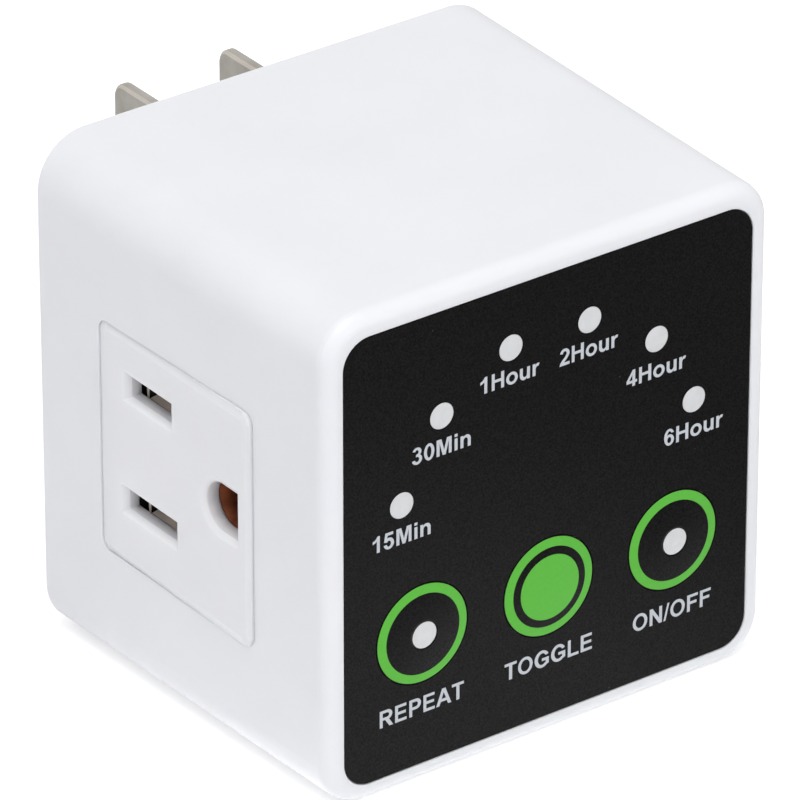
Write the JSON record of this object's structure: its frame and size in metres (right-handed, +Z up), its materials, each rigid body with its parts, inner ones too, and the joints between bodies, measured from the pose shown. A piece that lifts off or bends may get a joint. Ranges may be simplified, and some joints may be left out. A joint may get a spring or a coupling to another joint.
{
  "type": "plug-in timer switch",
  "caption": "Cube-shaped countdown timer that plugs into a wall outlet, with press buttons on a black membrane panel, an arc of indicator windows and a grounded receptacle in each side.",
  "frame": {"origin": "centre of the wall face, the flat back of the rear cover that meets the wall plate", "axes": "+Y into the wall outlet, along the blades; +Z up; the button panel faces -Y and the first receptacle faces -X"},
  "size_m": [0.0548, 0.0673, 0.0548],
  "materials": {
    "white_housing": "satin moulded",
    "black_film": "fine matt printed film",
    "window_film": "frosted white window",
    "nickel_brass": "nickel plated, fine brushed",
    "copper_brass": "bare copper alloy, tarnished",
    "zinc_steel": "zinc plated",
    "clear_key": "milky translucent",
    "white_lamp": "surface-mount lamp",
    "board_green": "solder mask over glass-epoxy",
    "black_moulding": "moulded epoxy",
    "ivory_nylon": "nylon connector",
    "cable_grey": "flat ribbon sleeve",
    "relay_blue": "smooth moulded case",
    "capacitor_yellow": "boxed film capacitor",
    "can_sleeve": "dark sleeve on an aluminium can",
    "crystal_can": "drawn metal can",
    "ceramic_blue": "dipped coating",
    "resistor_tan": "lacquered",
    "fuse_white": "ceramic sleeve",
    "baffle_white": "plain moulded"
  },
  "bodies": {
    "housing": {"blade_clamp": "ivory_nylon", "chip_resistors": "black_moulding", "control_board": "board_green", "control_board_screws": "zinc_steel", "control_board_socket": "ivory_nylon", "dropper_capacitor": "capacitor_yellow", "ground_pin": "nickel_brass", "ground_strap": "copper_brass", "hot_blade": "nickel_brass", "hot_strap": "copper_brass", "housing_shell": "white_housing", "left_contact_cap": "ivory_nylon", "left_ground_contact": "copper_brass", "left_hot_contact": "nickel_brass", "left_neutral_contact": "nickel_brass", "left_receptacle_face": "white_housing", "light_baffle": "baffle_white", "link_cable": "cable_grey", "microcontroller": "black_moulding", "neutral_blade": "nickel_brass", "neutral_strap": "copper_brass", "overlay_film": "black_film", "power_board": "board_green", "power_board_screws": "zinc_steel", "power_board_socket": "ivory_nylon", "power_resistors": "resistor_tan", "rear_cover": "white_housing", "rear_cover_screws": "zinc_steel", "rectifier_diodes": "black_moulding", "relay": "relay_blue", "right_contact_cap": "ivory_nylon", "right_ground_contact": "copper_brass", "right_hot_contact": "nickel_brass", "right_neutral_contact": "nickel_brass", "right_receptacle_face": "white_housing", "smoothing_capacitor": "can_sleeve", "status_lamps": "white_lamp", "tact_switches": "black_moulding", "thermal_fuse": "fuse_white", "time_lamps": "white_lamp", "time_windows": "window_film", "timing_crystal": "crystal_can", "varistor": "ceramic_blue"},
    "repeat_button": {"repeat_dome": "black_film", "repeat_window": "window_film", "repeat_key": "clear_key", "repeat_switch_stem": "black_moulding"},
    "toggle_button": {"toggle_dome": "black_film", "toggle_key": "clear_key", "toggle_switch_stem": "black_moulding"},
    "power_button": {"power_dome": "black_film", "power_window": "window_film", "power_key": "clear_key", "power_switch_stem": "black_moulding"}
  },
  "joints": [
    {"name": "repeat_press", "type": "slide", "parent": "housing", "child": "repeat_button", "axis": [0, 1, 0], "range_m": [0, 0.0004], "stiffness_N_per_m": 4000},
    {"name": "toggle_press", "type": "slide", "parent": "housing", "child": "toggle_button", "axis": [0, 1, 0], "range_m": [0, 0.0004], "stiffness_N_per_m": 4000},
    {"name": "power_press", "type": "slide", "parent": "housing", "child": "power_button", "axis": [0, 1, 0], "range_m": [0, 0.0004], "stiffness_N_per_m": 4000}
  ]
}
